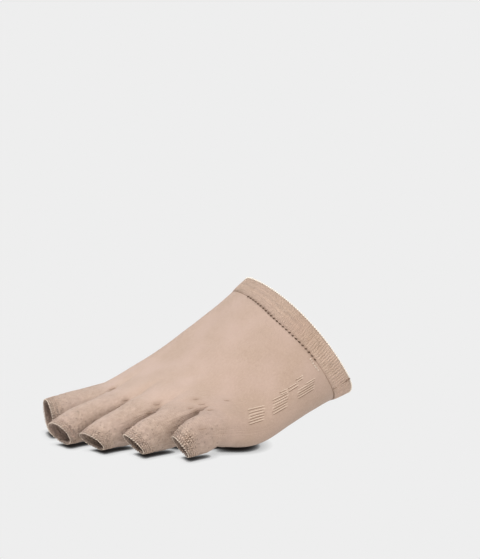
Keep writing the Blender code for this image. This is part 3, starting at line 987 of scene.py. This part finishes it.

# The stitches that sew the cuff down: a dark sunk thread with dashes in front of the cuff, a light
# looped edge behind it, and one seam across it, which ends in a knot. The dark dashes are painted
# shade: beads that stand for the shade in the seam between its stitches.

measures = ("Spacing", "Length", "Width", "Height", "Lean", "Jitter")
stitch_tree, stitch_in, stitch_out = make_tree(
    "row_of_stitches",
    {**dict.fromkeys(measures, "NodeSocketFloat"), "Material": "NodeSocketMaterial"},
)
row = add_node(stitch_tree, "GeometryNodeMeshToCurve", {0: stitch_in["Geometry"]})
spacing = {"Curve": row, "Length": stitch_in["Spacing"]}
spots = add_node(stitch_tree, "GeometryNodeResampleCurve", spacing, mode="LENGTH")
outs = add_node(
    stitch_tree, "GeometryNodeInputNamedAttribute", {"Name": "out"}, data_type="FLOAT_VECTOR"
)
stood = add_node(stitch_tree, "FunctionNodeAlignRotationToVector", {"Vector": outs}, axis="Z")
tangent = add_node(stitch_tree, "GeometryNodeInputTangent")
aligned = add_node(
    stitch_tree,
    "FunctionNodeAlignRotationToVector",
    {"Rotation": stood, "Vector": tangent},
    axis="X",
    pivot_axis="Z",
)
chance = add_node(stitch_tree, "FunctionNodeRandomValue", {2: -1.0, 3: 1.0, "Seed": 3})
swing = add_node(
    stitch_tree,
    MATHS,
    {0: chance.outputs[1], 1: stitch_in["Jitter"], 2: stitch_in["Lean"]},
    operation="MULTIPLY_ADD",
)
lean = add_node(
    stitch_tree, "FunctionNodeAxisAngleToRotation", {"Axis": (0.0, 0.0, 1.0), "Angle": swing}
)
leant = add_node(
    stitch_tree,
    "FunctionNodeRotateRotation",
    {"Rotation": aligned, "Rotate By": lean},
    rotation_space="LOCAL",
)
bead = add_node(stitch_tree, "GeometryNodeMeshUVSphere", {"Segments": 8, "Rings": 6, "Radius": 0.5})
soft_bead = add_node(stitch_tree, "GeometryNodeSetShadeSmooth", {"Geometry": bead})
bead_size = add_node(
    stitch_tree,
    "ShaderNodeCombineXYZ",
    {0: stitch_in["Length"], 1: stitch_in["Width"], 2: stitch_in["Height"]},
)
size_chance = add_node(stitch_tree, "FunctionNodeRandomValue", {2: -0.35, 3: 0.15, "Seed": 8})
size_share = add_node(
    stitch_tree,
    MATHS,
    {0: size_chance.outputs[1], 1: stitch_in["Jitter"], 2: 1.0},
    operation="MULTIPLY_ADD",
)
bead_scale = add_node(
    stitch_tree, "ShaderNodeVectorMath", {0: bead_size, "Scale": size_share}, operation="SCALE"
)
placed = add_node(
    stitch_tree,
    "GeometryNodeInstanceOnPoints",
    {"Points": spots, "Instance": soft_bead, "Rotation": leant, "Scale": bead_scale},
)
real = add_node(stitch_tree, "GeometryNodeRealizeInstances", {0: placed})
dyed = add_node(
    stitch_tree, "GeometryNodeSetMaterial", {"Geometry": real, "Material": stitch_in["Material"]}
)
stitch_tree.links.new(dyed.outputs[0], stitch_out.inputs[0])

# Sizes in mm, and the angle in degrees that each stitch leans from its row. Jitter makes them uneven.
Stitch = namedtuple("Stitch", "spacing length width height lean jitter")


def sewn(name, lines, stitch, dyed_yarn):
    """A piece with rows of one kind of stitch along its lines."""
    return made_by(
        stitch_tree,
        name,
        lines,
        Spacing=stitch.spacing * MM,
        Length=stitch.length * MM,
        Width=stitch.width * MM,
        Height=stitch.height * MM,
        Lean=math.radians(stitch.lean),
        Jitter=stitch.jitter,
        Material=dyed_yarn,
    )


JOIN_AT = 1.01  # how far round the cuff the seam across it lies
SEAM_SET_BACK = 0.35 * MM  # from the cuff's front edge to the middle of the seam
CORD_RADIUS = 0.3 * MM
CORD_LIFT = 0.04 * MM
THREAD_RADIUS = 0.13 * MM
THREAD_LIFT = 0.3 * MM
DASH_LIFT = 0.42 * MM
DASH_SET_BACK = 0.1 * MM
EDGE_SET_BACK = 0.15 * MM
EDGE_SUNK = 0.15 * MM
JOIN_RADIUS = 0.18 * MM
JOIN_LIFT = 0.02 * MM
KNOT_LIFT = 0.1 * MM
LOOP_LIFT = 0.15 * MM
LOOSE_LOOPS = [(0.842, 0.966), (0.836, 0.977), (0.84, 0.984)]  # along the sleeve, and round it

seam_shade_yarn = yarn("painted_seam_shade_beads", "#493628")
purl_yarn = yarn("purl_beige_yarn", "#AF9A8A")
rim_yarn = yarn("pale_rim_yarn", "#C0B0A0")
seam_yarn = yarn("brown_seam_yarn", "#7E6858")
edge_yarn = yarn("pale_edge_yarn", "#DAD0C2")


def ring_line(ring_at, place, lift):
    """A closed line round a ring of the surface, raised along its normals."""
    normals = outward(ring_at, min(place, 1.0))
    return ring_at(place) - MOUTH + normals * lift, normals, True


def stretch_of(line, columns):
    """The open stretch of a line at some of its points."""
    points, normals, _ = line
    return points[columns], normals[columns], False


seam_place = CUFF_START - SEAM_SET_BACK / FOREFOOT_LENGTH
seam_line = ring_line(cuff_ring, seam_place, CORD_LIFT)
dashed = np.flatnonzero((cuff_far > 0.42) & (cuff_far < 0.97))
rest = np.roll(np.arange(len(cuff_far)), -dashed[-1])[: len(cuff_far) - len(dashed) + 2]
groove = thread("cuff_seam_thread", [stretch_of(seam_line, rest)], THREAD_RADIUS, seam_yarn)
upper_line = ring_line(cuff_ring, seam_place, THREAD_LIFT)
upper = thread("cuff_upper_thread", [stretch_of(upper_line, dashed)], THREAD_RADIUS, seam_yarn)
cord = thread("cuff_seam_cord", [stretch_of(seam_line, dashed)], CORD_RADIUS, purl_yarn)
# The dashes' dark beads are painted shade in the seam between its stitches.
dash_place = seam_place - DASH_SET_BACK / FOREFOOT_LENGTH
dashes = sewn(
    "cuff_seam_dashes",
    [stretch_of(ring_line(cuff_ring, dash_place, DASH_LIFT), dashed)],
    Stitch(2.3, 1.45, 0.8, 0.5, 30, 0.3),
    seam_shade_yarn,
)
edge_place = 1.0 - EDGE_SET_BACK / FOREFOOT_LENGTH
edge = sewn(
    "cuff_edge_loops",
    [ring_line(cuff_ring, edge_place, CUFF_PROUD - EDGE_SUNK)],
    Stitch(1.4, 1.1, 0.9, 0.75, 25, 0.5),
    edge_yarn,
)
# The seam across the cuff runs from the groove to the edge, between two ribs.
join_column = int(np.argmin(np.abs(cuff_far - JOIN_AT)))
join_places = np.linspace(CUFF_START, 1.0, 16)
join_points = np.array([(cuff_ring(place) - MOUTH)[join_column] for place in join_places])
join_normals = np.array([outward(cuff_ring, place)[join_column] for place in join_places])
join_line = (join_points + join_normals * (CUFF_PROUD + JOIN_LIFT), join_normals, False)
join = thread("cuff_join", [join_line], JOIN_RADIUS, seam_yarn)
knot_normals = join_normals[-4:-1]
knot = sewn(
    "cuff_join_knot",
    [(join_points[-4:-1] + knot_normals * (CUFF_PROUD + KNOT_LIFT), knot_normals, False)],
    Stitch(0.9, 1.7, 1.5, 0.9, 40, 0.8),
    seam_yarn,
)
# A few loose loops of the sewing yarn stand out beside the groove.
loose_loops = []
for place, far in LOOSE_LOOPS:
    column = int(np.argmin(np.abs(cuff_far - far)))
    around = [column - 4, column, column + 4]
    loose_loops.append(stretch_of(ring_line(cuff_ring, place, LOOP_LIFT), around))
loops = sewn("loose_seam_loops", loose_loops, Stitch(1.1, 1.1, 0.6, 0.5, 50, 0.9), rim_yarn)
cuff_stitches = [groove, upper, cord, dashes, edge, join, knot, loops]
for piece in cuff_stitches:
    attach(piece, "root")

# The toe hems: each toe's tube ends in a short folded hem, knitted in a coarser purl stitch that
# looks like a fine mesh, and its edge is rolled.

HEM_THICKNESS = 1.5 * MM
HEM_PROUD = 0.06 * MM
HEM_PROFILE = 22
HEM_FINENESS = Fineness(40, 24)
PURL_ROWS = 5
PURL_ROW = 1.1 * MM
FIRST_PURL_ROW = 1.0 * MM  # behind the toe's rolled edge
RIM_SUNK = 0.1 * MM
PURL_STITCH = Stitch(1.35, 1.15, 0.62, 0.42, 35, 1.3)
RIM_STITCH = Stitch(1.35, 1.35, 0.55, 0.5, 20, 0.6)

hem_knit = knit_fabric("beige_nylon_purl_hem", "#B29C8C", "#8E7765", "#AF9386", 0.8)
hem_pieces = []
for number, toe in enumerate(TOES):
    ring_at = functools.partial(toe_ring, number, fine=HEM_FINENESS)
    toe_length = mean_length(ring_at)
    start = 1 - HEM_WIDTH / toe_length
    hem_form = bmesh.new()
    hem_rings = band_rings(ring_at, start, HEM_THICKNESS, HEM_PROUD, HEM_PROFILE)
    add_rings(
        hem_form,
        hem_rings,
        girth(hem_rings[0]),
        2 * HEM_WIDTH,
        closed=True,
        specks=specked(number, [1.0], toe_length, HEM_FINENESS),
        fold=toe_shade(number, [1.0], HEM_FINENESS),
    )
    hem = finished(f"{toe.name}_purl_hem", hem_form, hem_knit)
    ruffled(hem)
    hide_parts(f"{toe.name}_hem")
    purls = []
    for count in range(PURL_ROWS):
        row_place = 1 - (FIRST_PURL_ROW + PURL_ROW * count) / toe_length
        points, normals, _ = ring_line(ring_at, row_place, HEM_PROUD)
        shift = 2 * (count % 2)
        line = (np.roll(points, shift, 0), np.roll(normals, shift, 0), True)
        leaning = PURL_STITCH._replace(lean=PURL_STITCH.lean * (-1) ** count)
        purls.append(sewn(f"{toe.name}_purl_row_{count + 1}", [line], leaning, purl_yarn))
    rim_line = ring_line(ring_at, 1.0, -RIM_SUNK)
    rim = sewn(f"{toe.name}_rolled_edge", [rim_line], RIM_STITCH, rim_yarn)
    for piece in (hem, rim, *purls):
        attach(piece, "root")
    hem_pieces += [hem, rim, *purls]

# The cap is one sheet of knit, which off the foot is smaller and lies flat as a tube cut open: a wide
# part for the forefoot and five strips for the toes. Here only the bounds of all that is shown are
# found.

low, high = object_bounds()
